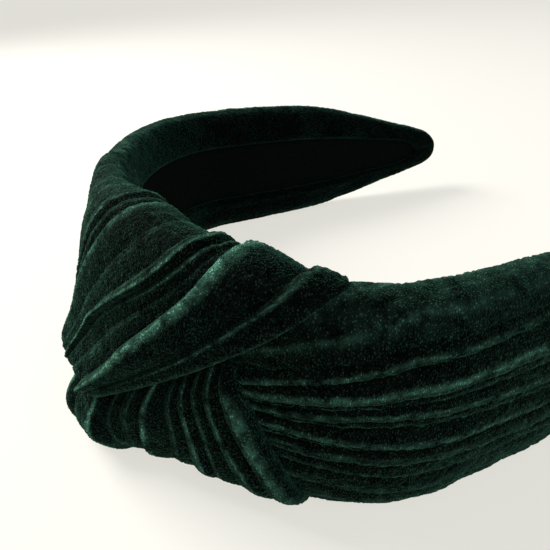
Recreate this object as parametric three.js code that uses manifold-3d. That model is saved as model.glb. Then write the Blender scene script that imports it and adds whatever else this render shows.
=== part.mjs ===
// Knotted headband: a springy plastic hoop padded with foam, covered in gathered velvet, with the
// two velvet straps tied in a turban knot over the crown. Millimetres, +Z up. The headband lies on
// the lower edge of its band, the knot faces -Y and the two arms run back along +Y.
//
// Places on the band are given in band coordinates: arc runs along the hoop's centre line from the
// middle of the crown (positive towards the right arm, +X), rise is the height across the band's
// width, and out is the distance outwards from the centre line, away from the head.

import * as THREE from 'three';
import { mergeVertices } from 'three/addons/utils/BufferGeometryUtils.js';
import Module from 'manifold-3d';

const wasm = await Module();
wasm.setup();

// ---- Driving dimensions ----

// The hoop's centre line, seen from above.
const HOOP_HALF_SPAN = 64;
const HOOP_DEPTH = 135.5;
const CROWN_DEPTH = 43;
const TIP_INSET = 6.5;

// The padded band.
const BAND_WIDTH = 44.6;
const BAND_THICKNESS = 10.6;
const TIP_WIDTH = 11.6;
const TIP_THICKNESS = 8;
const TAPER_LENGTH = 55;
const TAPER_SOFTNESS = 0.3;
const TIP_ROUNDING = 6;

// The layers inside the band, from the head outwards.
const ROLL_DEPTH = 1.7;
const LINING_THICKNESS = 0.8;
const CORE_THICKNESS = 1.6;
const VELVET_THICKNESS = 1.2;
const RECESS_SHARE = 0.45;
const CORE_SHARE = 0.58;
const CLEARANCE = 0.3;

// How far each inner layer stops short of the arm's tip.
const CAVITY_END = 4;
const CORE_END = 8;
const LINING_END = 11;
const RECESS_END = 10;

// The places where the arms flex, just outside the knot.
const FLEX_ARC = 72;
const FLEX_GAP = 2;

// The knot: both folds spread from the pinch. Girths are measured round the band's section from the
// middle of its outer face, upwards.
const PINCH_FROM_ARC = -4;
const PINCH_TO_ARC = 24.5;
const PINCH_GIRTH = -8.5;
const PINCH_HEIGHT = 13.5;
const LEFT_SLOPE = 0.45;
const FOLD_THICKNESS = 1.2;
const FOLD_CLEARANCE = 0.6;
const FOLD_GAP = 1.2;
const UPPER_FOLD_LEFT_ARC = -24;
const UPPER_FOLD_RIGHT_ARC = FLEX_ARC - 6;
const UPPER_FALL_LEFT = 13;
const UPPER_FALL_RIGHT = 20;
const EDGE_BULGE = 3.4;
const EDGE_BULGE_FROM = 0.2;
const EDGE_BULGE_PEAK = 0.5;
const LOWER_FOLD_LEFT_ARC = -2;
const LOWER_FOLD_RIGHT_ARC = FLEX_ARC - 11;
const LOWER_START_ARC = 51;
const NOSE_HEIGHT = 14.5;
const NOSE_FALL = 11;
const LOWER_HEIGHT = 3.2;
const LOWER_ROUNDING = 9;
const TUCK_LENGTH = 9.8;

// The stitches that hold the knot's two ends to the lining.
const THREAD_DIAMETER = 0.8;
const STITCH_LENGTH = 9;
const STITCH_ARC = 22;
const STITCH_MARGIN = 1.5;

// How the headband lies: the hoop leans back by this angle and its lower edges are pressed flat.
const LEAN_DEGREES = 2.8;
const PRESSED_FLAT = 0.8;

// Mesh fineness.
const ARC_STEP = 7.5;
const LEAST_STEP = 0.3;
const TIP_STATIONS = [1, 0.6, 0.35, 0.15];
const SECTION_SIDES = 20;
const FOLD_STEPS_ALONG = 17;
const FOLD_STEPS_ACROSS = 12;
const STITCH_STEPS = 6;
const STITCH_SIDES = 8;

// Shape of the curves.
const CROWN_SHARE = 0.55;
const INSET_POWER = 1.8;
const SECTION_OUT_POWER = 0.8;
const SECTION_RISE_POWER = 0.7;
const FALL_POWER = 1.3;
const NOSE_POWER = 1.2;
const TABLE_STEPS = 800;

// ---- Materials ----

const velvet = new THREE.MeshStandardMaterial({ color: 0x07241b, roughness: 0.95, metalness: 0 });
const lining = new THREE.MeshStandardMaterial({ color: 0x04100c, roughness: 0.9, metalness: 0 });
const plastic = new THREE.MeshStandardMaterial({ color: 0x1c1d1c, roughness: 0.45, metalness: 0 });
const foam = new THREE.MeshStandardMaterial({ color: 0xd8d5c8, roughness: 1, metalness: 0 });
const thread = new THREE.MeshStandardMaterial({ color: 0x06150f, roughness: 0.8, metalness: 0 });

// ---- The hoop's centre line ----

// A point of the centre line; share runs from -1 at the left tip to 1 at the right tip.
function centreLine(share) {
  const side = share < 0 ? -1 : 1;
  const reach = Math.abs(share);
  const turn = Math.min(reach / CROWN_SHARE, 1) * Math.PI / 2;
  const run = Math.max(reach - CROWN_SHARE, 0) / (1 - CROWN_SHARE);
  const x = side * (HOOP_HALF_SPAN * Math.sin(turn) - TIP_INSET * run ** INSET_POWER);
  const y = CROWN_DEPTH * (1 - Math.cos(turn)) + (HOOP_DEPTH - CROWN_DEPTH) * run;
  return new THREE.Vector2(x, y);
}

// The same line measured by arc length, right half only: the left half mirrors it.
const hoopTable = (() => {
  const table = [{ arc: 0, point: centreLine(0) }];
  for (let i = 1; i <= TABLE_STEPS; i += 1) {
    const point = centreLine(i / TABLE_STEPS);
    const last = table[i - 1];
    table.push({ arc: last.arc + point.distanceTo(last.point), point });
  }
  return table;
})();
const HALF_ARC = hoopTable[TABLE_STEPS].arc;

function lookUp(table, key, value) {
  let low = 0;
  let high = table.length - 1;
  while (high - low > 1) {
    const middle = (low + high) >> 1;
    if (table[middle][key] <= value) low = middle;
    else high = middle;
  }
  return { low, high, blend: (value - table[low][key]) / (table[high][key] - table[low][key]) };
}

// Centre point and outward direction at an arc length.
function hoopFrame(arc) {
  const side = arc < 0 ? -1 : 1;
  const { low, high, blend } = lookUp(hoopTable, 'arc', Math.abs(arc));
  const from = hoopTable[low].point;
  const to = hoopTable[high].point;
  const centre = from.clone().lerp(to, blend);
  const along = to.clone().sub(from).normalize();
  return {
    centre: new THREE.Vector3(side * centre.x, centre.y, 0),
    outward: new THREE.Vector3(side * along.y, -along.x, 0),
  };
}

function place(arc, rise, out) {
  const { centre, outward } = hoopFrame(arc);
  return centre.addScaledVector(outward, out).setZ(rise);
}

// ---- The band's section ----

function bandHalfWidth(arc) {
  const toTip = HALF_ARC - Math.abs(arc);
  const beyond = 1 - toTip / TAPER_LENGTH;
  const taper = (beyond + Math.hypot(beyond, TAPER_SOFTNESS)) / 2;
  const flat = BAND_WIDTH / 2 - (BAND_WIDTH - TIP_WIDTH) / 2 * taper;
  const corner = 1 - THREE.MathUtils.clamp(toTip / TIP_ROUNDING, 0.05, 1);
  return flat * Math.sqrt(1 - corner * corner);
}

function bandHalfThickness(arc) {
  const armShare = Math.max(Math.abs(arc) - FLEX_ARC, 0) / (HALF_ARC - FLEX_ARC);
  const flat = (BAND_THICKNESS + (TIP_THICKNESS - BAND_THICKNESS) * armShare) / 2;
  const corner = 1 - THREE.MathUtils.clamp((HALF_ARC - Math.abs(arc)) / (TIP_ROUNDING / 2), 0.1, 1);
  return flat * Math.sqrt(1 - corner * corner);
}

const signedPower = (value, power) => Math.sign(value) * Math.abs(value) ** power;

// A point of the rounded section at an angle from its outer face, moved outwards by lift.
function sectionPoint(arc, angle, lift) {
  const halfThickness = bandHalfThickness(arc);
  const halfWidth = bandHalfWidth(arc);
  const normalOut = signedPower(Math.cos(angle), 2 - SECTION_OUT_POWER) / halfThickness;
  const normalRise = signedPower(Math.sin(angle), 2 - SECTION_RISE_POWER) / halfWidth;
  const length = Math.hypot(normalOut, normalRise);
  const out = halfThickness * signedPower(Math.cos(angle), SECTION_OUT_POWER);
  const rise = halfWidth * signedPower(Math.sin(angle), SECTION_RISE_POWER);
  return { rise: rise + lift * normalRise / length, out: out + lift * normalOut / length };
}

// Girth is the distance round the crown's section from the middle of its outer face.
const girthTable = (() => {
  const table = [{ girth: 0, angle: 0 }];
  let last = sectionPoint(0, 0, 0);
  for (let i = 1; i <= TABLE_STEPS; i += 1) {
    const angle = Math.PI * i / TABLE_STEPS;
    const point = sectionPoint(0, angle, 0);
    const step = Math.hypot(point.rise - last.rise, point.out - last.out);
    table.push({ girth: table[i - 1].girth + step, angle });
    last = point;
  }
  return table;
})();

function girthAngle(girth) {
  const { low, high, blend } = lookUp(girthTable, 'girth', Math.abs(girth));
  return Math.sign(girth) * THREE.MathUtils.lerp(girthTable[low].angle, girthTable[high].angle, blend);
}

// A point over the band's velvet, by arc and girth.
function overBand(arc, girth, lift) {
  const { rise, out } = sectionPoint(arc, girthAngle(girth), lift);
  return place(arc, rise, out);
}

// ---- Closed meshes ----

// Turns a mesh's faces outwards, whichever way it was wound.
function facingOut(points, triangles) {
  const cross = new THREE.Vector3();
  let volume = 0;
  for (const [a, b, c] of triangles) {
    volume += points[a].dot(cross.crossVectors(points[b], points[c]));
  }
  const index = triangles.flatMap(([a, b, c]) => (volume < 0 ? [a, c, b] : [a, b, c]));
  const geometry = new THREE.BufferGeometry();
  geometry.setAttribute('position', new THREE.Float32BufferAttribute(points.flatMap((p) => p.toArray()), 3));
  geometry.setIndex(index);
  return geometry;
}

// Joins equal outlines, one per arc, into a closed body. An outline is a list of [rise, out].
function loft(arcs, outlineAt) {
  const outlines = arcs.map(outlineAt);
  const count = outlines[0].length;
  const points = outlines.flatMap((outline, i) => outline.map(([rise, out]) => place(arcs[i], rise, out)));
  const triangles = [];
  for (let i = 0; i < arcs.length - 1; i += 1) {
    for (let j = 0; j < count; j += 1) {
      const here = i * count + j;
      const next = i * count + (j + 1) % count;
      triangles.push([here, next, next + count], [here, next + count, here + count]);
    }
  }
  const capAt = (i) => {
    const corners = outlines[i].map(([rise, out]) => new THREE.Vector2(rise, out));
    const faces = THREE.ShapeUtils.triangulateShape(corners, []);
    const turned = THREE.ShapeUtils.isClockWise(corners) === (i > 0);
    return faces.map(([a, b, c]) => (turned ? [c, b, a] : [a, b, c]).map((k) => k + i * count));
  };
  triangles.push(...capAt(0), ...capAt(arcs.length - 1));
  return facingOut(points, triangles);
}

// A closed body between an upper and a lower surface over the unit square.
function slab(stepsAlong, stepsAcross, surfaceAt) {
  const row = stepsAcross + 1;
  const layer = row * (stepsAlong + 1);
  const points = [];
  for (const side of [1, 0]) {
    for (let i = 0; i <= stepsAlong; i += 1) {
      for (let j = 0; j <= stepsAcross; j += 1) points.push(surfaceAt(i / stepsAlong, j / stepsAcross, side));
    }
  }
  const triangles = [];
  const quad = (a, b, c, d) => triangles.push([a, b, c], [a, c, d]);
  for (let i = 0; i < stepsAlong; i += 1) {
    for (let j = 0; j < stepsAcross; j += 1) {
      const k = i * row + j;
      quad(k, k + 1, k + row + 1, k + row);
      quad(layer + k, layer + k + row, layer + k + row + 1, layer + k + 1);
    }
  }
  for (let i = 0; i < stepsAlong; i += 1) {
    const left = i * row;
    const right = left + stepsAcross;
    quad(left, left + row, layer + left + row, layer + left);
    quad(right, layer + right, layer + right + row, right + row);
  }
  for (let j = 0; j < stepsAcross; j += 1) {
    const far = stepsAlong * row + j;
    quad(j, layer + j, layer + j + 1, j + 1);
    quad(far, far + 1, layer + far + 1, layer + far);
  }
  return facingOut(points, triangles);
}

function toSolid(geometry) {
  const bare = new THREE.BufferGeometry();
  bare.setAttribute('position', geometry.getAttribute('position').clone());
  if (geometry.index) bare.setIndex(geometry.index.clone());
  const merged = mergeVertices(bare, 1e-4);
  return new wasm.Manifold(new wasm.Mesh({
    numProp: 3,
    vertProperties: new Float32Array(merged.getAttribute('position').array),
    triVerts: new Uint32Array(merged.index.array),
  }));
}

function toGeometry(solid) {
  const mesh = solid.getMesh();
  const geometry = new THREE.BufferGeometry();
  geometry.setAttribute('position', new THREE.BufferAttribute(new Float32Array(mesh.vertProperties), 3));
  geometry.setIndex(new THREE.BufferAttribute(new Uint32Array(mesh.triVerts), 1));
  return geometry;
}

function cut(geometry, ...tools) {
  const solid = tools.reduce((rest, tool) => rest.subtract(toSolid(tool)), toSolid(geometry));
  return toGeometry(solid);
}

// ---- Band pieces ----

// All band pieces share their stations, so that neighbours stay evenly apart. They are closer
// together over the rounded tips.
const stations = (() => {
  const half = [];
  for (let arc = ARC_STEP / 2; arc < HALF_ARC - TIP_ROUNDING; arc += ARC_STEP) half.push(arc);
  half.push(...TIP_STATIONS.map((share) => HALF_ARC - share * TIP_ROUNDING));
  return [...half.map((arc) => -arc).reverse(), ...half];
})();

// The stations from one arc to another, both included.
function arcRange(from, to) {
  const low = Math.min(from, to);
  const high = Math.max(from, to);
  const inside = stations.filter((arc) => arc > low + LEAST_STEP && arc < high - LEAST_STEP);
  return [low, ...inside, high];
}

function roundedOutline(inset) {
  return (arc) => Array.from({ length: SECTION_SIDES }, (_, i) => {
    const { rise, out } = sectionPoint(arc, 2 * Math.PI * (i + 0.5) / SECTION_SIDES, -inset);
    return [rise, out];
  });
}

// A rectangle across the band; low and high are depths measured from the band's inner face.
function flatOutline(halfWidthAt, low, high) {
  return (arc) => {
    const inner = -(BAND_THICKNESS + (TIP_THICKNESS - BAND_THICKNESS)
      * Math.max(Math.abs(arc) - FLEX_ARC, 0) / (HALF_ARC - FLEX_ARC)) / 2;
    const half = halfWidthAt(arc);
    return [[-half, inner + low], [half, inner + low], [half, inner + high], [-half, inner + high]];
  };
}

const RECESS_FLOOR = ROLL_DEPTH + LINING_THICKNESS;
const CORE_LOW = RECESS_FLOOR + CLEARANCE;
const CORE_HIGH = CORE_LOW + CORE_THICKNESS;
const BEYOND_BAND = 8;

const recessHalfWidth = (arc) => RECESS_SHARE * bandHalfWidth(arc);
const coreHalfWidth = (arc) => CORE_SHARE * bandHalfWidth(arc);

function hoopCore() {
  const end = HALF_ARC - CORE_END;
  return loft(arcRange(-end, end), flatOutline(coreHalfWidth, CORE_LOW, CORE_HIGH));
}

function innerLining() {
  const end = HALF_ARC - LINING_END;
  const halfWidth = (arc) => recessHalfWidth(arc) - CLEARANCE;
  return loft(arcRange(-end, end), flatOutline(halfWidth, ROLL_DEPTH, RECESS_FLOOR));
}

// The foam lies over the hoop's outer face and rolls round both its edges.
function foamPad() {
  const end = HALF_ARC - CAVITY_END - CLEARANCE;
  const beyond = HALF_ARC - 1;
  const hoopSlot = (arc) => coreHalfWidth(arc) + CLEARANCE;
  const liningSlot = (arc) => recessHalfWidth(arc) + VELVET_THICKNESS + CLEARANCE;
  return cut(
    loft(arcRange(-end, end), roundedOutline(VELVET_THICKNESS + CLEARANCE)),
    loft(arcRange(-beyond, beyond), flatOutline(hoopSlot, CORE_LOW - CLEARANCE, CORE_HIGH + CLEARANCE)),
    loft(arcRange(-beyond, beyond), flatOutline(liningSlot, -BEYOND_BAND, CORE_LOW + CLEARANCE)),
  );
}

// Velvet wrapped round the band from one arc to another. It turns in beside the lining and leaves
// the hoop's inner face open for it. Where the second arc is an arm's tip, the tip stays closed.
function velvetWrap(from, to) {
  const along = Math.sign(to - from);
  const atTip = Math.abs(to) === HALF_ARC;
  const start = from - along * ARC_STEP;
  const stop = (short) => (atTip ? to - along * short : to + along * ARC_STEP);
  const lip = (arc) => recessHalfWidth(arc) + VELVET_THICKNESS;
  const cavity = cut(
    loft(arcRange(start, stop(CAVITY_END)), roundedOutline(VELVET_THICKNESS)),
    loft(arcRange(start - along, to + 2 * along), flatOutline(lip, -BEYOND_BAND, RECESS_FLOOR)),
  );
  return cut(
    loft(arcRange(from, to), roundedOutline(0)),
    cavity,
    loft(arcRange(start, stop(RECESS_END)), flatOutline(recessHalfWidth, -BEYOND_BAND, CORE_LOW + CLEARANCE)),
  );
}

// ---- Knot pieces ----

const mix = THREE.MathUtils.lerp;

// The band's girth from its outer middle to the middle of its upper edge.
const EDGE_GIRTH = girthTable[TABLE_STEPS / 2].girth;
const TUCK_GIRTH = EDGE_GIRTH + TUCK_LENGTH;

// The upper fold's free lower edge: it runs from the pinch to the band's upper edge.
function upperFoldEdge(arc) {
  const share = (arc - PINCH_TO_ARC) / (UPPER_FOLD_RIGHT_ARC - PINCH_TO_ARC);
  return mix(PINCH_GIRTH, EDGE_GIRTH, THREE.MathUtils.clamp(share, 0, 1));
}

const { smoothstep } = THREE.MathUtils;

// Both folds rise from the band over this share of their width, on their left side.
const leftSlope = (across) => smoothstep(across, 0, LEFT_SLOPE);

// One fold of the knot. It starts along a line over the band, spreads across the band's edge and is
// tucked inside. heightAt gives how far it stands over its thinnest.
function knotFold(startArcs, startGirthAt, edgeArcs, tuckGirth, heightAt) {
  return slab(FOLD_STEPS_ALONG, FOLD_STEPS_ACROSS, (along, across, outer) => {
    const startArc = mix(...startArcs, across);
    const startGirth = startGirthAt(startArc);
    const girth = mix(startGirth, tuckGirth, along);
    const edgeGirth = Math.sign(tuckGirth) * EDGE_GIRTH;
    const toEdge = Math.min((girth - startGirth) / (edgeGirth - startGirth), 1);
    const arc = mix(startArc, mix(...edgeArcs, across), toEdge);
    const lift = outer ? FOLD_THICKNESS + heightAt(across, arc, girth) : 0;
    return overBand(arc, girth, FOLD_CLEARANCE + lift);
  });
}

function knotUpperFold() {
  return knotFold(
    [PINCH_FROM_ARC, PINCH_TO_ARC],
    () => PINCH_GIRTH,
    [UPPER_FOLD_LEFT_ARC, UPPER_FOLD_RIGHT_ARC],
    TUCK_GIRTH,
    (across, arc, girth) => {
      const reach = mix(UPPER_FALL_LEFT, UPPER_FALL_RIGHT, across);
      const mound = PINCH_HEIGHT * Math.exp(-(((girth - PINCH_GIRTH) / reach) ** FALL_POWER));
      const bulge = EDGE_BULGE * smoothstep(across, EDGE_BULGE_FROM, EDGE_BULGE_PEAK)
        * Math.min((1 - across) / (1 - EDGE_BULGE_PEAK), 1)
        * smoothstep(girth, PINCH_GIRTH, EDGE_GIRTH);
      return (mound * leftSlope(across) + bulge) * (1 - smoothstep(girth, EDGE_GIRTH, TUCK_GIRTH));
    },
  );
}

function knotLowerFold() {
  return knotFold(
    [PINCH_FROM_ARC, LOWER_START_ARC],
    (arc) => upperFoldEdge(arc) - FOLD_GAP,
    [LOWER_FOLD_LEFT_ARC, LOWER_FOLD_RIGHT_ARC],
    -TUCK_GIRTH,
    (across, arc, girth) => {
      const beyondNose = Math.max(arc - PINCH_TO_ARC, 0) / NOSE_FALL;
      const nose = mix(LOWER_HEIGHT, NOSE_HEIGHT, Math.exp(-(beyondNose ** NOSE_POWER)));
      return nose * leftSlope(across) * smoothstep(girth, -EDGE_GIRTH, -EDGE_GIRTH + LOWER_ROUNDING);
    },
  );
}

// A bar of thread that holds a fold's tucked end to the velvet beside the lining.
function tackStitch(side) {
  const girth = side * (TUCK_GIRTH + STITCH_MARGIN);
  const lift = FOLD_CLEARANCE + THREAD_DIAMETER / 2;
  const stations = [-0.5, 0, 0.5].map((share) => overBand(STITCH_ARC + share * STITCH_LENGTH, girth, lift));
  const section = new THREE.Shape().absarc(0, 0, THREAD_DIAMETER / 2, 0, 2 * Math.PI);
  return new THREE.ExtrudeGeometry(section, {
    steps: STITCH_STEPS,
    curveSegments: STITCH_SIDES / 2,
    bevelEnabled: false,
    extrudePath: new THREE.CatmullRomCurve3(stations),
  });
}

// ---- The headband ----

const FLEX_EDGE = FLEX_GAP / 2;

const pieces = [
  ['hoop_core', plastic, hoopCore()],
  ['foam_pad', foam, foamPad()],
  ['inner_lining', lining, innerLining()],
  ['left_velvet_sleeve', velvet, velvetWrap(-FLEX_ARC - FLEX_EDGE, -HALF_ARC)],
  ['right_velvet_sleeve', velvet, velvetWrap(FLEX_ARC + FLEX_EDGE, HALF_ARC)],
  ['left_velvet_gather', velvet, velvetWrap(-FLEX_ARC + FLEX_EDGE, PINCH_TO_ARC - CLEARANCE / 2)],
  ['right_velvet_gather', velvet, velvetWrap(FLEX_ARC - FLEX_EDGE, PINCH_TO_ARC + CLEARANCE / 2)],
  ['knot_upper_fold', velvet, knotUpperFold()],
  ['knot_lower_fold', velvet, knotLowerFold()],
  ['upper_tack_stitch', thread, tackStitch(1)],
  ['lower_tack_stitch', thread, tackStitch(-1)],
];

const leaning = new THREE.Matrix4().makeRotationX(-THREE.MathUtils.degToRad(LEAN_DEGREES));

function leaningBox(geometry) {
  const leaned = geometry.clone().applyMatrix4(leaning);
  leaned.computeBoundingBox();
  return leaned.boundingBox;
}

const bounds = new THREE.Box3();
for (const [, , geometry] of pieces) bounds.union(leaningBox(geometry));
const centre = bounds.getCenter(new THREE.Vector3());
const restHeight = bounds.min.z + PRESSED_FLAT;

// Trims whatever the weight presses below the rest plane.
function pressFlat(geometry) {
  if (leaningBox(geometry).min.z > restHeight) return geometry;
  const below = new THREE.BoxGeometry(4 * HOOP_HALF_SPAN, 4 * HOOP_DEPTH, BAND_WIDTH);
  below.translate(centre.x, centre.y, restHeight - BAND_WIDTH / 2);
  return cut(geometry, below.applyMatrix4(leaning.clone().invert()));
}

const headband = new THREE.Group();
for (const [name, material, geometry] of pieces) {
  const mesh = new THREE.Mesh(pressFlat(geometry), material);
  mesh.name = name;
  headband.add(mesh);
}
headband.rotation.setFromRotationMatrix(leaning);
headband.position.set(-centre.x, -centre.y, -restHeight);

export default headband;
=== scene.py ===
"""Looks for the knotted headband: velvet straps, the knot's folds, lining, foam, hoop and stitches.

Places on the band are given as in the CAD part: arc runs along the hoop's centre line from the middle
of the crown, girth runs round the band's section from the middle of its outer face, and lift is the
height over the band's velvet. They are in millimetres; the finished meshes are in metres.
"""

import bmesh
import bpy
import numpy as np
from mathutils import Matrix, Vector


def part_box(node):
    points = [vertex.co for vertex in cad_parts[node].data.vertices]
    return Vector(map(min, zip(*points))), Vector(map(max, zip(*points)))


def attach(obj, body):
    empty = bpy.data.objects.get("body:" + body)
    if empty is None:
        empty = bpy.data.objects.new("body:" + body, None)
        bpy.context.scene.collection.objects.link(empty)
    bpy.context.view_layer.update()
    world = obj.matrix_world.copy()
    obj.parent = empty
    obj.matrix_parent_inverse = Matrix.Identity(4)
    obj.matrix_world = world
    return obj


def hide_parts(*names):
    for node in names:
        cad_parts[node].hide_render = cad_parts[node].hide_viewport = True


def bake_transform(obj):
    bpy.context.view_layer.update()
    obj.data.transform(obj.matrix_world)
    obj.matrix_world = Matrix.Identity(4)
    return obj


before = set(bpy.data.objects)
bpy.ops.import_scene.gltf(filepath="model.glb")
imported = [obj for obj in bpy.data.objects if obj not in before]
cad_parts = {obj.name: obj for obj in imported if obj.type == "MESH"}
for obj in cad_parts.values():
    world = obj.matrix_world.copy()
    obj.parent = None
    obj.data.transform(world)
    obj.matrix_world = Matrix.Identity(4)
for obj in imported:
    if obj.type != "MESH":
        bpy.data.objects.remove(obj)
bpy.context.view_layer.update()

MM = 0.001

# ---- The CAD part's dimensions, in millimetres ----

HOOP_HALF_SPAN = 64.0
HOOP_DEPTH = 135.5
CROWN_DEPTH = 43.0
CROWN_SHARE = 0.55
TIP_INSET = 6.5
INSET_POWER = 1.8
BAND_WIDTH = 44.6
BAND_THICKNESS = 10.6
TIP_WIDTH = 11.6
TIP_THICKNESS = 8.0
TAPER_LENGTH = 55.0
TAPER_SOFTNESS = 0.3
TIP_ROUNDING = 6.0
ROLL_DEPTH = 1.7
LINING_THICKNESS = 0.8
CORE_THICKNESS = 1.6
VELVET_THICKNESS = 1.2
CLEARANCE = 0.3
RECESS_SHARE = 0.45
CORE_SHARE = 0.58
RECESS_END = 10.0
LINING_END = 11.0
CORE_END = 8.0
FOAM_END = 4.3
FLEX_ARC = 72.0
LEAN = np.radians(2.8)
SECTION_OUT_POWER = 0.8
SECTION_RISE_POWER = 0.7

PINCH_FROM_ARC = -4.0
PINCH_TO_ARC = 24.5
PINCH_GIRTH = -8.5
PINCH_HEIGHT = 13.0
UPPER_LEFT_ARC = -24.0
UPPER_RIGHT_ARC = 66.0
LOWER_LEFT_ARC = -2.0
LOWER_RIGHT_ARC = 63.0
LOWER_START_ARC = 49.5
NOSE_HEIGHT = 14.6
TUCK_GIRTH = 34.0
STITCH_ARC = 22.0
STITCH_LENGTH = 9.0

# ---- What only the looks have, in millimetres ----

CLOTH_THICKNESS = 0.9
PILE_HEIGHT = 0.17
PRESSED_HEIGHT = 0.8  # below this the underside is pressed flat on the floor
STRAP_STEP = 0.55
STRAP_COLUMNS = 190
STRAP_TIP_ROWS = 24
STRAP_WELD = 0.03
HEM_COLUMNS = 5
HEM_PAST_LINING = 0.3
FOLD_ROWS = 230
FOLD_WELD = 0.003
FOLD_UNDERSIDE = 0.05  # the height of a fold's underside over the band
FOLD_BORDER = 0.15  # the height of its face where that is rolled under
FOLD_PILE_SEED = 17
SIDE_ROLL_STEPS = 9
END_ROLL_STEPS = 7
HALF_BAND_RINGS = 260
MIDDLE_GAP = 0.02  # half the gap between the two halves of a band
CREST_MOST = 1.8  # a taller crest gets the painted highlight of one this high

# ---- The band's shape ----


def hoop_table(steps=1600):
    """Arc, centre point and direction along the hoop's centre line, from the left tip to the right."""
    share = np.linspace(-1, 1, steps + 1)
    reach = np.abs(share)
    turn = np.minimum(reach / CROWN_SHARE, 1) * np.pi / 2
    run = np.maximum(reach - CROWN_SHARE, 0) / (1 - CROWN_SHARE)
    x = np.sign(share) * (HOOP_HALF_SPAN * np.sin(turn) - TIP_INSET * run**INSET_POWER)
    y = CROWN_DEPTH * (1 - np.cos(turn)) + (HOOP_DEPTH - CROWN_DEPTH) * run
    arc = np.concatenate([[0], np.cumsum(np.hypot(np.diff(x), np.diff(y)))])
    dx, dy = np.gradient(x, arc), np.gradient(y, arc)
    return arc - arc[-1] / 2, x, y, dx, dy


HOOP = hoop_table()
HALF_ARC = HOOP[0][-1]


def half_width(arc):
    to_tip = HALF_ARC - np.abs(arc)
    beyond = 1 - to_tip / TAPER_LENGTH
    taper = (beyond + np.hypot(beyond, TAPER_SOFTNESS)) / 2
    corner = 1 - np.clip(to_tip / TIP_ROUNDING, 0.0, 1)
    return (BAND_WIDTH - (BAND_WIDTH - TIP_WIDTH) * taper) / 2 * np.sqrt(1 - corner**2)


def half_thickness(arc):
    arm_share = np.clip((np.abs(arc) - FLEX_ARC) / (HALF_ARC - FLEX_ARC), 0, 1)
    corner = 1 - np.clip((HALF_ARC - np.abs(arc)) / (TIP_ROUNDING / 2), 0.0, 1)
    return (BAND_THICKNESS + (TIP_THICKNESS - BAND_THICKNESS) * arm_share) / 2 * np.sqrt(1 - corner**2)


def signed_power(value, power):
    return np.sign(value) * np.abs(value) ** power


def section(arc, angle, lift):
    """(rise, out) of a point of the band's rounded section, moved outwards by lift."""
    thick = np.maximum(half_thickness(arc), 0.01)
    wide = np.maximum(half_width(arc), 0.01)
    normal_out = signed_power(np.cos(angle), 2 - SECTION_OUT_POWER) / thick
    normal_rise = signed_power(np.sin(angle), 2 - SECTION_RISE_POWER) / wide
    length = np.hypot(normal_out, normal_rise)
    out = thick * signed_power(np.cos(angle), SECTION_OUT_POWER) + lift * normal_out / length
    rise = wide * signed_power(np.sin(angle), SECTION_RISE_POWER) + lift * normal_rise / length
    return rise, out


def girth_table(steps=2000):
    angle = np.linspace(0, np.pi, steps + 1)
    rise, out = section(0.0, angle, 0.0)
    girth = np.concatenate([[0], np.cumsum(np.hypot(np.diff(rise), np.diff(out)))])
    return girth, angle


GIRTHS, ANGLES = girth_table()
EDGE_GIRTH = np.interp(np.pi / 2, ANGLES, GIRTHS)


def girth_angle(girth):
    return np.sign(girth) * np.interp(np.abs(girth), GIRTHS, ANGLES)


def lean(points):
    """Turns hoop points back by the angle at which the headband lies."""
    y = points[..., 1] * np.cos(LEAN) + points[..., 2] * np.sin(LEAN)
    z = -points[..., 1] * np.sin(LEAN) + points[..., 2] * np.cos(LEAN)
    return np.stack([points[..., 0], y, z], -1)


def hoop_place(arc, rise, out):
    """Hoop points, before the hoop is leaned and set down."""
    arc = np.asarray(arc, float)
    x, y, dx, dy = (np.interp(arc, HOOP[0], column) for column in HOOP[1:])
    length = np.hypot(dx, dy)
    return np.stack([x + out * dy / length, y - out * dx / length, rise + 0 * x], -1)


def rest_shift():
    """How far the leaned hoop is moved, read from where the CAD hoop core is."""
    core_half = CORE_SHARE * BAND_WIDTH / 2
    core_out = -BAND_THICKNESS / 2 + ROLL_DEPTH + LINING_THICKNESS + CLEARANCE + CORE_THICKNESS
    front = lean(hoop_place(0.0, -core_half, core_out))
    core_low, core_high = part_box("hoop_core")
    top = lean(hoop_place(0.0, core_half, core_out))
    return np.array([0.0, core_low.y / MM - front[1], core_high.z / MM - top[2]])


REST_SHIFT = rest_shift()


def to_row(points):
    """Hoop points in millimetres to row-frame points in metres."""
    return (lean(points) + REST_SHIFT) * MM


def over_band(arc, girth, lift):
    rise, out = section(arc, girth_angle(girth), lift)
    return to_row(hoop_place(arc, rise, out))


# ---- Small helpers ----


def mix(a, b, share):
    return a + (b - a) * share


def ease(low, high, value):
    share = np.clip((value - low) / (high - low), 0, 1)
    return share * share * (3 - 2 * share)


def wander(u, v, size_u, size_v, seed):
    """Smooth random values from -1 to 1 over a plane, with features of the given sizes."""
    table = np.random.default_rng(seed).uniform(-1, 1, (64, 64))
    x, y = u / size_u, v / size_v
    x0, y0 = np.floor(x).astype(int), np.floor(y).astype(int)
    fx, fy = ease(0, 1, x - x0), ease(0, 1, y - y0)
    corner = [table[(x0 + i) % 64, (y0 + j) % 64] for i in (0, 1) for j in (0, 1)]
    return mix(mix(corner[0], corner[1], fy), mix(corner[2], corner[3], fy), fx)


def grid_faces(rows, columns, wrap=False):
    """Quads over a grid of points, row by row."""
    i, j = np.meshgrid(np.arange(rows - 1), np.arange(columns - (0 if wrap else 1)), indexing="ij")
    a = i * columns + j
    b = i * columns + (j + 1) % columns
    return np.stack([a, b, b + columns, a + columns], -1).reshape(-1, 4)


def add_piece(name, mesh):
    piece = bpy.data.objects.new(name, mesh)
    bpy.context.scene.collection.objects.link(piece)
    return piece


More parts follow.
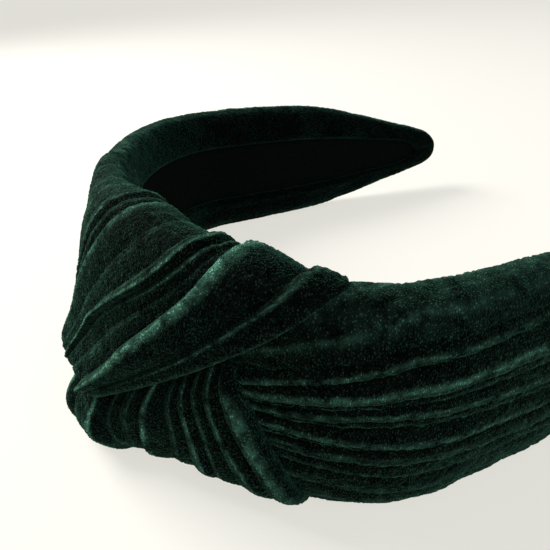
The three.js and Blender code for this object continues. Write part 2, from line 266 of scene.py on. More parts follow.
def new_mesh(name, points, faces, crest):
    """A smooth mesh; crest carries painted light for its material: a painted highlight that grows with how
    far each point stands out on a fold, and painted shade where it is below zero.
    """
    mesh = bpy.data.meshes.new(name)
    mesh.from_pydata(points.reshape(-1, 3).tolist(), [], faces.tolist())
    layer = mesh.attributes.new("PaintedLight", "FLOAT", "POINT")
    layer.data.foreach_set("value", crest.astype(np.float32).ravel())
    mesh.shade_smooth()
    return add_piece(name, mesh)


def weld(piece, distance):
    """Joins the piece's points that lie closer together than distance."""
    modifier = piece.modifiers.new("Weld", "WELD")
    modifier.merge_threshold = distance * MM


def freeze(piece):
    """Applies the piece's modifiers to its mesh."""
    shape = piece.evaluated_get(bpy.context.evaluated_depsgraph_get())
    mesh = bpy.data.meshes.new_from_object(shape)
    piece.modifiers.clear()
    piece.data = mesh
    return piece


def settle(piece):
    """Presses a piece's underside flat where it would go through the floor."""
    count = len(piece.data.vertices)
    points = np.empty(count * 3)
    piece.data.vertices.foreach_get("co", points)
    height = points[2::3]
    low = PRESSED_HEIGHT * MM
    points[2::3] = np.where(height < low, low * np.exp(np.minimum(height / low - 1, 0)), height)
    piece.data.vertices.foreach_set("co", points)
    piece.data.update()
    return piece


# ---- Folds in cloth ----


def along_line(line, share):
    """A line's values at shares of the way along it, from its values at the start, middle and end."""
    return np.interp(share, np.linspace(0, 1, len(line)), line)


def folds(position, share, crests):
    """Height of a row of folds at positions across them, and a painted highlight for each point, by how near
    it is to a crest.

    position and share are grids; share is the same all along a row of the grid. Each crest is a
    tuple (places, heights, valley): its places and heights from one end to the other, and where
    the valley lies between it and the next crest, from 0 to 1.
    """
    lift, crest = np.empty_like(position), np.empty_like(position)
    number = np.arange(len(crests))
    valleys = np.array([valley for _, _, valley in crests])
    for row in range(position.shape[0]):
        places = np.array([along_line(line, share[row, 0]) for line, _, _ in crests])
        heights = np.array([along_line(line, share[row, 0]) for _, line, _ in crests])
        places = np.maximum.accumulate(places + number * 1e-4)
        phase = np.interp(position[row], places, number)
        whole = np.minimum(np.floor(phase).astype(int), len(crests) - 2)
        part = phase - whole
        valley = valleys[whole]
        fall = np.clip(part / valley, 0, 1)
        rise = np.clip((part - valley) / (1 - valley), 0, 1)
        below = part < valley
        this, after = heights[whole], heights[whole + 1]
        lift[row] = np.where(below, this * (1 - fall**2), after * np.sin(rise * np.pi / 2) ** 0.8)
        # Painted highlight: strongest on each crest, fading down the slopes on either side of it.
        near_this = np.minimum(this, CREST_MOST) * np.clip(1 - fall / 0.4, 0, 1) ** 2
        near_after = np.minimum(after, CREST_MOST) * rise**5
        crest[row] = np.where(below, near_this, near_after)
    return lift, crest


def pile(shape, seed):
    """The uneven height of the velvet's tufts, one value a point."""
    return PILE_HEIGHT * np.random.default_rng(seed).uniform(-1, 1, shape)


# ---- The two straps on the arms ----

# Gathers on each arm: girths and heights at the knot, a little way out, and further along the arm,
# and the place of the valley above each.
RIGHT_STATIONS = (52.0, 76.0, 104.0)
RIGHT_PLEATS = [
    ((-49, -49, -49), (0.0, 0.0, 0.0), 0.5),
    ((-38, -38, -38), (0.3, 0.4, 0.2), 0.5),
    ((-30, -31, -31), (0.3, 0.3, 0.3), 0.5),
    ((-22, -24.5, -26), (0.3, 0.3, 0.2), 0.6),
    ((-14.5, -18.5, -21), (0.4, 0.3, 0.3), 0.5),
    ((-10.4, -13.2, -15.6), (0.5, 0.5, 0.4), 0.7),
    ((-7.6, -9.4, -11.2), (0.6, 0.4, 0.3), 0.5),
    ((-4.4, -5.2, -7.8), (0.8, 0.7, 0.8), 0.75),
    ((-2.8, -3.2, -4.4), (0.5, 0.3, 0.5), 0.35),
    ((-0.7, -1.8, -4.2), (1.0, 1.0, 0.9), 0.8),
    ((0.5, 2.8, -0.4), (0.5, 0.3, 0.2), 0.35),
    ((1.4, 5.0, 2.4), (0.9, 0.7, 0.6), 0.75),
    ((2.5, 7.0, 7.2), (0.5, 0.2, 0.2), 0.4),
    ((4.0, 9.8, 11.2), (1.3, 1.3, 1.0), 0.8),
    ((6.0, 14.6, 17.0), (1.2, 0.8, 0.1), 0.3),
    ((11.5, 20.5, 22.5), (0.4, 0.3, 0.2), 0.5),
    ((17.5, 26, 28), (0.3, 0.2, 0.2), 0.5),
    ((28, 33, 34), (0.3, 0.4, 0.3), 0.5),
    ((40, 40, 40), (0.3, 0.3, 0.2), 0.5),
    ((49, 49, 49), (0.0, 0.0, 0.0), 0.5),
]
LEFT_STATIONS = (-6.0, 36.0, 92.0)
LEFT_PLEATS = [
    ((-49, -49, -49), (0.0, 0.0, 0.0), 0.5),
    ((-38, -38, -38), (0.3, 0.4, 0.3), 0.5),
    ((-27, -30, -31), (0.4, 0.4, 0.3), 0.5),
    ((-19, -23, -25), (0.4, 0.5, 0.4), 0.5),
    ((-14.5, -18, -20), (0.4, 0.7, 0.5), 0.6),
    ((-11, -13.5, -15), (0.4, 0.5, 0.4), 0.4),
    ((-8.4, -9.4, -11), (0.4, 1.1, 0.7), 0.7),
    ((-5.6, -5.4, -6), (0.4, 0.6, 0.5), 0.4),
    ((-3, -1.6, -1.4), (0.4, 1.0, 0.7), 0.7),
    ((-0.6, 2.2, 3.4), (0.4, 0.5, 0.3), 0.4),
    ((2.4, 6, 7.6), (0.4, 0.9, 0.6), 0.7),
    ((5.6, 10.4, 13.2), (0.4, 0.5, 0.4), 0.5),
    ((9.6, 15.2, 18), (0.4, 0.6, 0.4), 0.5),
    ((15.5, 20.5, 23.5), (0.4, 0.3, 0.3), 0.5),
    ((25, 27, 29), (0.3, 0.3, 0.3), 0.5),
    ((38, 38, 38), (0.3, 0.4, 0.3), 0.5),
    ((49, 49, 49), (0.0, 0.0, 0.0), 0.5),
]


def pleats(arc, girth, side):
    """Gathers that spread from the knot along an arm and die out towards its tip."""
    stations, crests = (RIGHT_STATIONS, RIGHT_PLEATS) if side > 0 else (LEFT_STATIONS, LEFT_PLEATS)
    reach = side * arc
    share = np.interp(reach, stations, (0, 0.5, 1))
    sway = 0.7 * wander(reach, girth, 24, 11, 11 + side) * ease(50, 80, reach)
    strength = 1 - 0.75 * ease(104, 158, reach)
    strength = strength * (1 + 0.25 * wander(reach, girth, 17, 6, 5 + side))
    lift, crest = folds(girth + sway, share, crests)
    # Painted light: the crests' painted highlight is weaker low on the strap, and a little painted light is
    # added along its upper part.
    crest = crest * strength * mix(0.3, 0.75, ease(-10, 4, girth)) + 0.18 * ease(8, 24, girth)
    return lift * strength, crest


def strap_rows(side, inner_arc):
    """Arcs along a strap from its inner end to the tip, closer together at the tip."""
    outer = HALF_ARC - TIP_ROUNDING
    count = int((outer - side * inner_arc) / STRAP_STEP)
    even = np.linspace(side * inner_arc, outer, count)
    turn = np.linspace(0, np.pi / 2, STRAP_TIP_ROWS)[1:]
    return side * np.concatenate([even, outer + TIP_ROUNDING * np.sin(turn)])


def opening_share(arc):
    """How much of the band's width the recess for the lining takes up."""
    closing = np.clip((HALF_ARC - RECESS_END - np.abs(arc)) / 9.0, 0, 1)
    return RECESS_SHARE * np.sqrt(1 - (1 - closing) ** 2)


def strap_face(side, rows, rim_girth, recess):
    """Arc, girth, height and painted light over a strap's outside, from one rim of the recess to the other.

    recess is how wide the recess is at each row, from 0 to 1.
    """
    columns = np.linspace(-1, 1, STRAP_COLUMNS)
    girth = rim_girth[:, None] * columns[None, :]
    arc = np.repeat(rows[:, None], len(columns), 1)
    tip_fade = ease(0, 16, HALF_ARC - np.abs(arc))
    lift, crest = pleats(arc, girth, side)
    lift = lift * tip_fade
    lift += 0.22 * wander(arc, girth, 5.0, 3.0, 31) * tip_fade
    roll = wander(arc, girth, 9.0, 6.0, 33) * ease(25, 31, np.abs(girth)) * tip_fade
    lift += 0.7 * roll
    # Painted light: a little painted highlight on the rolls' lumps, and painted shade round the rolled edges
    # onto the inner face.
    crest = (crest + 0.15 * roll) * tip_fade - ease(26, 31, np.abs(girth))
    near_rim = np.clip((np.abs(columns)[None, :] - 1) * rim_girth[:, None] / 2.2 + 1, 0, 1)
    lift = lift * (1 - ease(0.0, 1.0, near_rim)) - 0.9 * near_rim**3 * recess[:, None]
    lift += pile(lift.shape, 71 + side) * (1 - near_rim) * tip_fade
    return arc, girth, lift, crest


def strap(name, side, inner_arc):
    """One velvet strap from under the knot to the arm's tip, wrapped round the band."""
    rows = strap_rows(side, inner_arc)
    share = opening_share(rows)
    recess = share / RECESS_SHARE
    rim = np.pi - np.arcsin(np.maximum(share, 1e-6) ** (1 / SECTION_RISE_POWER))
    rim_girth = np.interp(rim, ANGLES, GIRTHS)
    arc, girth, lift, crest = strap_face(side, rows, rim_girth, recess)
    rise, out = section(arc, girth_angle(girth), lift)
    depth = np.linspace(0, 1, HEM_COLUMNS + 1)[1:]
    drop = (ROLL_DEPTH + HEM_PAST_LINING) * recess[:, None] * depth[None, :]
    narrower = 1 - 0.02 * depth
    rise = np.concatenate([(rise[:, :1] * narrower)[:, ::-1], rise, rise[:, -1:] * narrower], 1)
    out = np.concatenate([(out[:, :1] + drop)[:, ::-1], out, out[:, -1:] + drop], 1)
    points = to_row(hoop_place(np.repeat(rows[:, None], rise.shape[1], 1), rise, out))
    # The hems inside the recess get painted shade.
    inside = np.full((len(rows), HEM_COLUMNS), -1.0)
    crest = np.concatenate([inside, crest, inside], 1)
    piece = new_mesh(name, points, grid_faces(*rise.shape), crest)
    weld(piece, STRAP_WELD)
    thick = piece.modifiers.new("Thickness", "SOLIDIFY")
    thick.thickness = CLOTH_THICKNESS * MM
    thick.offset = -1.0
    return settle(freeze(piece))


# ---- The knot's folds ----


def upper_start_girth(across):
    return PINCH_GIRTH - 2.2 * (1 - across)


def upper_edge_girth(arc):
    """Girth of the upper fold's lower border: its start line, then its free edge."""
    across = np.clip((arc - PINCH_FROM_ARC) / (PINCH_TO_ARC - PINCH_FROM_ARC), 0, 1)
    share = np.clip((arc - PINCH_TO_ARC) / (UPPER_RIGHT_ARC - PINCH_TO_ARC), 0, 1)
    return mix(upper_start_girth(across), EDGE_GIRTH, share)


def rolled(columns, roll_steps):
    """Positions across a fold with a half-round roll past each side: (position, turn) pairs.

    turn is 0 on the fold's face and runs to -1 or 1 round the roll at either side.
    """
    turns = np.linspace(0, 1, roll_steps + 1)[1:]
    position = np.concatenate([np.zeros(roll_steps), columns, np.ones(roll_steps)])
    turn = np.concatenate([-turns[::-1], np.zeros(len(columns)), turns])
    return position, turn


def lay_fold(start, finish, tuck_girth, across, along):
    """Arc and girth over a fold, and how far each point is from its start to the band's edge."""
    start_arc, start_girth = start(across)
    girth = mix(start_girth, tuck_girth, along)
    run = np.sign(tuck_girth) * EDGE_GIRTH - start_girth
    to_edge = np.clip((girth - start_girth) / run, 0, 1)
    return mix(start_arc, finish(across), to_edge), girth, to_edge


def fold_face(start, finish, tuck_girth, lift_at, roll, columns):
    """Points over a fold's face, rolled under at its sides and ends, and their painted light."""
    across, turn = rolled(np.linspace(0, 1, columns), SIDE_ROLL_STEPS)
    along, cap = rolled(np.linspace(0, 1, FOLD_ROWS), END_ROLL_STEPS)
    along, across = np.meshgrid(along, across, indexing="ij")
    cap, turn = np.meshgrid(cap, turn, indexing="ij")
    arc, girth, to_edge = lay_fold(start, finish, tuck_girth, across, along)
    start_arc, start_girth = start(across)
    lift, crest = lift_at(across, arc, girth)
    side_slope = (finish(across) - start_arc) * (to_edge < 1)
    run = np.sign(tuck_girth) * EDGE_GIRTH - start_girth
    length = np.hypot(side_slope, run)
    side_tilt = np.abs(turn) * np.pi
    end_tilt = np.abs(cap) * np.pi
    radius = roll * np.minimum(lift / 2, 1.6) * (1 + np.cos(end_tilt)) / 2
    sideways = radius * np.sin(side_tilt) * np.sign(turn)
    arc = arc + sideways * np.abs(run) / length
    girth = girth - sideways * side_slope * np.sign(run) / length
    lift = lift * (1 + np.cos(side_tilt)) / 2
    # The painted highlight fades round the rolled sides.
    crest = crest * np.clip(np.cos(side_tilt * 1.3), 0, 1) * 0.8
    girth = girth + 1.2 * np.sin(end_tilt) * np.sign(cap) * np.sign(run)
    lift = lift * (1 + np.cos(end_tilt)) / 2
    on_face = (1 - np.abs(turn)) * (1 - np.abs(cap))
    uneven = on_face * pile(lift.shape, FOLD_PILE_SEED)
    return over_band(arc, girth, lift + FOLD_BORDER + uneven), crest


def closed_faces(rows, columns):
    """Faces over two grids of points, the second below the first, with walls between their borders."""
    faces = grid_faces(rows, columns)
    count = rows * columns
    border = np.concatenate([
        np.arange(columns),
        np.arange(1, rows) * columns + columns - 1,
        (rows - 1) * columns + np.arange(columns - 2, -1, -1),
        np.arange(rows - 2, 0, -1) * columns,
    ])
    after = np.roll(border, -1)
    walls = np.stack([after, border, border + count, after + count], -1)
    return np.concatenate([faces, faces[:, ::-1] + count, walls])


def fold_piece(name, start, finish, tuck_girth, lift_at, roll, columns):
    """A closed fold between a start line and the band's edge, tucked inside at tuck_girth.

    start(across) gives (arc, girth), finish(across) the arc at the band's edge, and
    lift_at(across, arc, girth) the height of its face and its painted light.
    """
    top, crest = fold_face(start, finish, tuck_girth, lift_at, roll, columns)
    rows, columns = crest.shape
    across, along = np.meshgrid(np.linspace(0, 1, columns), np.linspace(0, 1, rows))
    arc, girth, _ = lay_fold(start, finish, tuck_girth, across, along)
    under = over_band(arc, girth, FOLD_UNDERSIDE)
    points = np.concatenate([top.reshape(-1, 3), under.reshape(-1, 3)])
    # Painted light on the face, none on the underside.
    crests = np.concatenate([crest.ravel(), 0 * crest.ravel()])
    piece = new_mesh(name, points, closed_faces(rows, columns), crests)
    weld(piece, FOLD_WELD)
    return settle(freeze(piece))


# Crests on each fold: places across it and heights, from its start line to the band's edge, and
# the place of the valley on the right of each.
UPPER_CRESTS = [
    ((-0.12, -0.12, -0.12), (0.1, 0.25, 0.2), 0.6),
    ((0.03, 0.04, 0.05), (0.1, 0.3, 0.2), 0.6),
    ((0.12, 0.15, 0.17), (0.1, 0.35, 0.3), 0.65),
    ((0.20, 0.25, 0.28), (0.1, 0.4, 0.3), 0.65),
    ((0.27, 0.345, 0.39), (0.1, 0.45, 0.4), 0.7),
    ((0.325, 0.425, 0.50), (0.2, 0.5, 0.8), 0.6),
    ((0.35, 0.452, 0.53), (0.2, 0.4, 0.6), 0.6),
    ((0.385, 0.48, 0.562), (0.4, 1.0, 0.9), 0.85),
    ((0.50, 0.57, 0.66), (0.6, 0.3, 0.3), 0.7),
    ((0.62, 0.645, 0.755), (1.2, 1.9, 1.3), 0.6),
    ((0.655, 0.675, 0.785), (0.5, 0.5, 0.7), 0.8),
    ((0.76, 0.755, 0.80), (0.6, 0.4, 0.2), 0.7),
    ((0.93, 0.843, 0.824), (1.8, 3.4, 2.0), 0.88),
    ((0.975, 0.965, 0.955), (0.3, 0.7, 0.9), 0.6),
    ((1.03, 1.03, 1.03), (1.2, 1.5, 0.3), 0.7),
    ((1.2, 1.2, 1.2), (1.0, 1.0, 1.0), 0.7),
]


def upper_lift(across, _arc, girth):
    start = upper_start_girth(across)
    to_edge = np.clip((girth - start) / (EDGE_GIRTH - start), 0, 1)
    past = ease(EDGE_GIRTH, TUCK_GIRTH, girth)
    mound = PINCH_HEIGHT * np.exp(-((np.maximum(girth - start, 0) / mix(13.0, 19.0, across)) ** 1.3))
    mound = mound * ease(0, 0.45, across) * (1 - 0.5 * across * ease(8, EDGE_GIRTH, girth))
    mound = mound * (1 - 0.26 * np.exp(-(((girth - start) / 1.9) ** 2)))
    bulge = 3.2 * ease(0.2, 0.5, across) * np.minimum((1 - across) / 0.5, 1) * ease(start, EDGE_GIRTH, girth)
    sway = 0.008 * wander(girth, across * 20, 9, 3, 21)
    ridges, crest = folds(across + sway, to_edge, UPPER_CRESTS)
    ridges = ridges * (1 + 0.2 * wander(girth, across * 30, 8, 2, 22)) * (1 - 0.8 * past)
    ridges = ridges * mix(0.25, 1.0, np.maximum(ease(0, 6, girth - start), ease(0.8, 0.93, across)))
    fine = 0.1 * wander(across * 70, girth, 2.2, 9.0, 41)
    return 0.9 + (mound + bulge) * (1 - past) + ridges + fine, crest


LOWER_CRESTS = [
    ((-0.1, -0.1, -0.1), (1.0, 1.0, 1.0), 0.5),
    ((0.05, 0.04, 0.03), (1.0, 1.0, 0.7), 0.5),
    ((0.16, 0.15, 0.13), (1.4, 1.3, 0.9), 0.6),
    ((0.25, 0.23, 0.20), (0.6, 0.7, 0.5), 0.5),
    ((0.37, 0.33, 0.29), (1.5, 1.5, 1.0), 0.65),
    ((0.46, 0.42, 0.37), (0.7, 0.6, 0.5), 0.5),
    ((0.56, 0.51, 0.46), (1.8, 1.8, 1.2), 0.7),
    ((0.62, 0.56, 0.505), (0.6, 0.6, 0.5), 0.5),
    ((0.69, 0.61, 0.545), (0.8, 0.7, 0.6), 0.6),
    ((0.775, 0.68, 0.60), (2.0, 2.0, 1.3), 0.7),
    ((0.845, 0.77, 0.69), (0.6, 0.8, 0.6), 0.5),
    ((0.895, 0.845, 0.79), (1.4, 1.5, 1.0), 0.5),
    ((0.93, 0.885, 0.83), (0.6, 0.8, 0.7), 0.5),
    ((0.97, 0.94, 0.93), (0.9, 1.1, 0.8), 0.5),
    ((1.01, 1.0, 1.0), (1.3, 1.4, 0.9), 0.5),
    ((1.15, 1.15, 1.15), (1.0, 1.0, 1.0), 0.5),
]


def lower_lift(across, arc, girth):
    start = upper_edge_girth(mix(PINCH_FROM_ARC, LOWER_START_ARC, across))
    to_edge = np.clip((start - girth) / (start + EDGE_GIRTH), 0, 1)
    beyond = np.maximum(arc - PINCH_TO_ARC, 0) / 11.0
    nose = mix(3.0, NOSE_HEIGHT, np.exp(-(beyond**1.2))) * ease(0, 0.4, across)
    flatter = ease(0.3, 0.75, across)
    above_edge = girth + EDGE_GIRTH
    round_off = mix(ease(-2.5, 4.5, above_edge), ease(-1, 9, above_edge), flatter)
    tuck = 4.8 * np.exp(-(((start - girth) / 3.2) ** 2))
    sway = 0.012 * wander(girth, across * 20, 8, 3, 51)
    ridges, crest = folds(across + sway, to_edge, LOWER_CRESTS)
    ridges = ridges * (1 + 0.25 * wander(girth, across * 30, 7, 2, 52)) * mix(0.4, 1.0, round_off)
    fine = 0.1 * wander(across * 60, girth, 2.0, 8.0, 61)
    return np.maximum(0.7 + nose * round_off + ridges + fine - tuck, 0.5), crest


def upper_fold():
    def start(across):
        return mix(PINCH_FROM_ARC, PINCH_TO_ARC, across), upper_start_girth(across)

    def finish(across):
        return mix(UPPER_LEFT_ARC, UPPER_RIGHT_ARC, across)

    return fold_piece("velvet_upper_fold", start, finish, TUCK_GIRTH, upper_lift, 1.0, 270)


def lower_fold():
    def start(across):
        arc = mix(PINCH_FROM_ARC, LOWER_START_ARC, across)
        return arc, upper_edge_girth(arc) + 0.6

    def finish(across):
        return mix(LOWER_LEFT_ARC, LOWER_RIGHT_ARC, across)

    return fold_piece("velvet_lower_fold", start, finish, -TUCK_GIRTH, lower_lift, 0.75, 250)


# ---- The pieces inside the velvet ----


def set_outward(mesh):
    shape = bmesh.new()
    shape.from_mesh(mesh)
    bmesh.ops.recalc_face_normals(shape, faces=shape.faces)
    shape.to_mesh(mesh)
    shape.free()


def swept(name, rings):
    """A closed solid through rings of points, with a flat cap at each end."""
    rows, columns = rings.shape[:2]
    faces = grid_faces(rows, columns, wrap=True).tolist()
    faces += [list(range(columns))[::-1], list(range((rows - 1) * columns, rows * columns))]
    mesh = bpy.data.meshes.new(name)
    mesh.from_pydata(rings.reshape(-1, 3).tolist(), [], faces)
    mesh.shade_smooth()
    for cap in mesh.polygons[-2:]:
        cap.use_smooth = False
    set_outward(mesh)
    return add_piece(name, mesh)


def half_band(name, side, short, outline):
    """Half of a piece that runs from the middle of the crown to near an arm's tip.

    short is how far before the tip it ends, and outline(arc) gives its section's rises and outs.
    """
    rings = []
    for arc in side * np.linspace(MIDDLE_GAP, HALF_ARC - short, HALF_BAND_RINGS):
        rise, out = outline(arc)
        rings.append(to_row(hoop_place(arc, rise, out)))
    return swept(name, np.array(rings))


def strip_outline(half, low, high, corner):
    """The section of a flat strip with rounded edges; low and high are depths from the inner face."""
    angle = np.linspace(0, 2 * np.pi, 41)[:-1]
    rise = half * signed_power(np.cos(angle), corner)
    out = (low + high) / 2 + (high - low) / 2 * signed_power(np.sin(angle), 0.6)
    return rise, out


def core_outline(arc):
    low = ROLL_DEPTH + LINING_THICKNESS + CLEARANCE
    rise, out = strip_outline(CORE_SHARE * half_width(arc), low, low + CORE_THICKNESS, 0.2)
    return rise, out - half_thickness(arc)


def lining_outline(arc):
    """The lining dips between its glued edges, with a little unevenness."""
    half = opening_share(arc) * half_width(arc)
    rise, out = strip_outline(half, ROLL_DEPTH, ROLL_DEPTH + LINING_THICKNESS, 0.12)
    wave = 0.1 * wander(arc + 0 * rise, rise, 7.0, 5.0, 81)
    return rise, out - half_thickness(arc) + wave * (1 - (rise / (half + 1e-6)) ** 2)


def foam_outline(arc):
    """The foam lies over the hoop and rolls round both its edges."""
    inner = -half_thickness(arc)
    lip = RECESS_SHARE * half_width(arc) + VELVET_THICKNESS + CLEARANCE
    slot = np.maximum(CORE_SHARE * half_width(arc) + CLEARANCE, lip + 0.1)
    inset = VELVET_THICKNESS + CLEARANCE
    lip_share = np.clip(lip / (half_width(arc) - inset), 0, 1)
    turn = np.pi - np.arcsin(lip_share ** (1 / SECTION_RISE_POWER))
    rise, out = section(arc, np.linspace(-turn, turn, 61), -inset)
    low = ROLL_DEPTH + LINING_THICKNESS
    high = low + CORE_THICKNESS + 2 * CLEARANCE
    corners = [(lip, low), (slot, low), (slot, high), (-slot, high), (-slot, low), (-lip, low)]
    inside = [(mix(a[0], b[0], step), inner + mix(a[1], b[1], step))
              for a, b in zip(corners, corners[1:]) for step in (0.0, 0.25, 0.5, 0.75)]
    inside.append((corners[-1][0], inner + corners[-1][1]))
    rises, outs = zip(*inside)
    return np.concatenate([rise, rises]), np.concatenate([out, outs])


def tack_stitch(name, side):
    """Whip stitches in thread, from a fold's tucked end into the velvet beside it."""
    count, per_stitch, sides, radius = 8, 12, 10, 0.24
    turn = np.linspace(0, count, count * per_stitch + 1)
    arc = STITCH_ARC + STITCH_LENGTH * (turn / count - 0.5)
    swing = np.cos(turn * 2 * np.pi)
    girth = side * (TUCK_GIRTH + 1.4 + 1.5 * swing)
    lift = 1.15 - 0.65 * swing + 0.5 * np.sin(turn * 2 * np.pi) ** 2
    path = over_band(arc, girth, lift)
    along = np.gradient(path, axis=0)
    along /= np.linalg.norm(along, axis=1, keepdims=True)
    first = np.cross(along, (0.3, 1.0, 0.2))
    first /= np.linalg.norm(first, axis=1, keepdims=True)
    second = np.cross(along, first)
    angle = np.linspace(0, 2 * np.pi, sides + 1)[:-1]
    twist = turn[:, None] * 7 + angle[None, :]
    size = radius * MM * (1 + 0.16 * np.cos(2 * (angle[None, :] + turn[:, None] * 9)))
    rings = path[:, None] + (size * np.cos(twist))[..., None] * first[:, None]
    rings = rings + (size * np.sin(twist))[..., None] * second[:, None]
    return swept(name, rings)


# ---- Materials ----


def material(name):
    made = bpy.data.materials.new(name)
    made.use_nodes = True
    return made, made.node_tree, made.node_tree.nodes["Principled BSDF"]


def set_inputs(tree, node, inputs):
    """Gives each input its value, or links it to the output socket that feeds it."""
    for key, value in inputs.items():
        if isinstance(value, bpy.types.NodeSocket):
            tree.links.new(value, node.inputs[key])
        else:
            node.inputs[key].default_value = value


def add_node(tree, kind, output, inputs, **settings):
    """Adds a node and returns one of its outputs."""
    node = tree.nodes.new("ShaderNode" + kind)
    for key, value in settings.items():
        setattr(node, key, value)
    set_inputs(tree, node, inputs)
    return node.outputs[output]


def number(tree, operation, *values):
    return add_node(tree, "Math", "Value", dict(enumerate(values)), operation=operation)


def vector(tree, operation, *values):
    return add_node(tree, "VectorMath", "Vector", dict(enumerate(values)), operation=operation)


def remap(tree, value, low, high, to_low, to_high):
    inputs = {"Value": value, "From Min": low, "From Max": high, "To Min": to_low, "To Max": to_high}
    return add_node(tree, "MapRange", "Result", inputs)


def noise_at(tree, place, scale):
    return add_node(tree, "TexNoise", "Fac", {"Vector": place, "Scale": scale, "Detail": 4})


def ramp(tree, value, dark_at, dark, light_at, light):
    """A colour that goes from dark to light as value goes from dark_at to light_at."""
    colour = add_node(tree, "ValToRGB", "Color", {"Fac": value})
    for end, at, shade in zip(colour.node.color_ramp.elements, (dark_at, light_at), (dark, light)):
        end.position = at
        end.color = (*shade, 1)
    return colour


def bump(tree, height, strength, distance):
    inputs = {"Strength": strength, "Distance": distance, "Height": height}
    return add_node(tree, "Bump", "Normal", inputs)


def velvet_material():
    """Velvet: dark green, with painted sheen where it turns from view, painted shade on the band's inner
    face, a painted highlight on crests and a painted glint on some tufts.
    """
    made, tree, shader = material("velvet")
    place = add_node(tree, "TexCoord", "Object", {})
    # Painted sheen: the dark green base colour lightens as the surface turns away from the view.
    facing = add_node(tree, "LayerWeight", "Facing", {"Blend": 0.35})
    base_and_rim_sheen = ramp(tree, facing, 0.3, (0.0018, 0.0042, 0.003), 1.0, (0.03, 0.08, 0.053))

    upright = vector(tree, "MULTIPLY", place, (1.0, 1.0, 0.5))
    tuft = add_node(tree, "TexVoronoi", "Distance", {"Vector": upright, "Scale": 3600, "Randomness": 0.85})
    tip = remap(tree, tuft, 0.05, 0.55, 1.0, 0.0)
    chance = add_node(tree, "SeparateColor", "Red", {"Color": tuft.node.outputs["Color"]})
    # Painted glints: a bright speck on a random few tufts; the same tufts also give the bump.
    glint = number(tree, "MULTIPLY", tip, number(tree, "POWER", chance, 3.0))

    shade = remap(tree, noise_at(tree, place, 420), 0.32, 0.68, 0.1, 1.6)
    crest = add_node(tree, "Attribute", "Fac", {}, attribute_name="PaintedLight")
    # Painted highlight on the folds' crests, taken from the mesh's painted-light values.
    crest_highlight = remap(tree, crest, 0.1, 2.2, 0.0, 1.0)
    # Painted shade on the band's inner face and the hems, where the values fall below zero.
    inside_shade = remap(tree, crest, -1.0, 0.0, 0.3, 1.0)
    # The painted glints brighten the velvet's colour.
    glint_gain = number(tree, "MULTIPLY_ADD", glint, 3.4, 0.5)
    bright = number(tree, "MULTIPLY", glint_gain, number(tree, "MULTIPLY", inside_shade, shade))
    glow = number(tree, "MULTIPLY", bright, crest_highlight)

    panel = add_node(tree, "VectorMath", "Vector", {0: base_and_rim_sheen, "Scale": bright}, operation="SCALE")
    stroke = number(tree, "MULTIPLY", glint, inside_shade)
    # The painted glints are also added as specks of light green.
    panel_and_glints = vector(tree, "MULTIPLY_ADD", stroke, (0.026, 0.048, 0.035), panel)
    # The base colour adds the painted crest highlight in teal green, over the panel with its painted sheen
    # and glints.
    set_inputs(tree, shader, {
        "Base Color": vector(tree, "MULTIPLY_ADD", glow, (0.15, 0.41, 0.28), panel_and_glints),
        "Roughness": 0.9,
        "Specular IOR Level": 0.02,
        "Sheen Weight": 0.1,
        "Sheen Roughness": 0.3,
        "Sheen Tint": (0.12, 0.6, 0.38, 1),
        "Normal": bump(tree, tip, 0.9, 0.00035),
    })
    return made


def mottled(name, roughness, specular, scale, dark, light, relief):
    """A material whose colour and height follow a fine noise; relief is its height in metres."""
    made, tree, shader = material(name)
    noise = noise_at(tree, add_node(tree, "TexCoord", "Object", {}), scale)
    set_inputs(tree, shader, {
        "Base Color": ramp(tree, noise, 0.3, dark, 0.7, light),
        "Roughness": roughness,
        "Specular IOR Level": specular,
        "Normal": bump(tree, noise, 0.6, relief),
    })
    return made


# ---- Floor, light and camera, in metres and degrees ----

FLOOR_SIZE = 16.0
FLOOR_GAP = 0.0002
CAMERA_TURN = (69.18, 31.49, -3.79)  # azimuth, elevation and roll
CAMERA_AIM = (0.01204, -0.02392, 0.020)
CAMERA_DISTANCE = 0.12496
LENS = 32.72  # in millimetres, as the sensor width is
SENSOR_WIDTH = 36.0


def studio():
    bpy.ops.mesh.primitive_plane_add(size=FLOOR_SIZE, location=(0, 0, -FLOOR_GAP))
    floor = bpy.context.object
    floor.name = "floor"
    made, tree, shader = material("floor")
    set_inputs(tree, shader, {
        "Base Color": (0.2, 0.195, 0.18, 1),
        "Roughness": 0.9,
        "Emission Color": (0.97, 0.95, 0.87, 1),
        "Emission Strength": 0.68,
    })
    floor.data.materials.append(made)
    world = bpy.data.worlds.new("studio")
    bpy.context.scene.world = world
    world.use_nodes = True
    sky = {"Color": (0.95, 0.96, 1.0, 1), "Strength": 0.35}
    set_inputs(world.node_tree, world.node_tree.nodes["Background"], sky)
    bpy.context.scene.view_settings.view_transform = "Standard"
    area_light("window", (-0.5, -0.42, 0.6), (0, -0.02, 0.02), 0.45, 16.0, (1.0, 0.98, 0.95))
    area_light("fill", (0.7, 0.2, 0.5), (0.02, -0.02, 0.02), 0.6, 3.0, (0.75, 0.88, 1.0))


def area_light(name, place, aim, size, power, colour):
    lamp = bpy.data.lights.new(name, "AREA")
    lamp.size = size
    lamp.energy = power
    lamp.color = colour
    holder = bpy.data.objects.new(name, lamp)
    holder.location = place
    direction = Vector(aim) - Vector(place)
    holder.rotation_euler = direction.to_track_quat("-Z", "Y").to_euler()
    bpy.context.scene.collection.objects.link(holder)


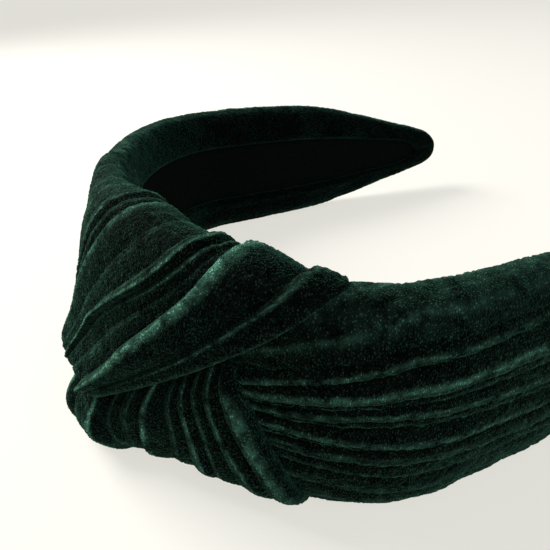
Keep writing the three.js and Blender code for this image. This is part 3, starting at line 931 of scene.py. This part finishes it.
def camera():
    azimuth, elevation, roll = np.radians(CAMERA_TURN)
    level = np.cos(elevation)
    back = Vector((np.sin(azimuth) * level, -np.cos(azimuth) * level, np.sin(elevation)))
    right = Vector((0, 0, 1)).cross(back).normalized()
    up = back.cross(right)
    rolled_right = right * np.cos(roll) + up * np.sin(roll)
    rolled_up = back.cross(rolled_right)
    lens = bpy.data.cameras.new("camera")
    lens.sensor_width = SENSOR_WIDTH
    lens.lens = LENS
    lens.clip_start = 0.005
    holder = bpy.data.objects.new("camera", lens)
    turn = Matrix((rolled_right, rolled_up, back)).transposed().to_4x4()
    holder.matrix_world = Matrix.Translation(Vector(CAMERA_AIM) + back * CAMERA_DISTANCE) @ turn
    bpy.context.scene.collection.objects.link(holder)
    bpy.context.scene.camera = holder


# ---- The headband ----


def finish_piece(piece, look):
    piece.data.materials.clear()
    piece.data.materials.append(look)


camera()
studio()

velvet = velvet_material()
lining = mottled("lining", 0.95, 0.03, 1500, (0.0006, 0.0013, 0.0009), (0.0014, 0.0034, 0.0025), 0.0001)
foam = mottled("foam", 1.0, 0.2, 900, (0.5, 0.48, 0.4), (0.72, 0.7, 0.62), 0.0004)
plastic = mottled("hoop_plastic", 0.35, 0.5, 60, (0.012, 0.013, 0.013), (0.02, 0.021, 0.021), 0.00002)
thread = mottled("thread", 0.7, 0.3, 2500, (0.002, 0.012, 0.008), (0.006, 0.03, 0.02), 0.00008)


def bend(piece):
    """Bakes the piece's placement into its mesh."""
    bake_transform(piece)


for side, side_name in ((-1, "left"), (1, "right")):
    piece = strap("velvet_" + side_name + "_strap", side, PINCH_TO_ARC)
    finish_piece(piece, velvet)
    bend(piece)
    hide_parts(side_name + "_velvet_sleeve", side_name + "_velvet_gather")

    piece = half_band("lining_" + side_name, side, LINING_END, lining_outline)
    finish_piece(piece, lining)
    bend(piece)
    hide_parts("inner_lining")

    piece = half_band("foam_" + side_name, side, FOAM_END, foam_outline)
    finish_piece(piece, foam)
    bend(piece)
    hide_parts("foam_pad")

    piece = half_band("hoop_" + side_name, side, CORE_END, core_outline)
    finish_piece(piece, plastic)
    bend(piece)
    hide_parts("hoop_core")

for piece, node in ((upper_fold(), "knot_upper_fold"), (lower_fold(), "knot_lower_fold")):
    finish_piece(piece, velvet)
    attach(piece, "crown")
    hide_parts(node)

for side, node in ((1, "upper_tack_stitch"), (-1, "lower_tack_stitch")):
    piece = tack_stitch("thread_" + node, side)
    finish_piece(piece, thread)
    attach(piece, "crown")
    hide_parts(node)
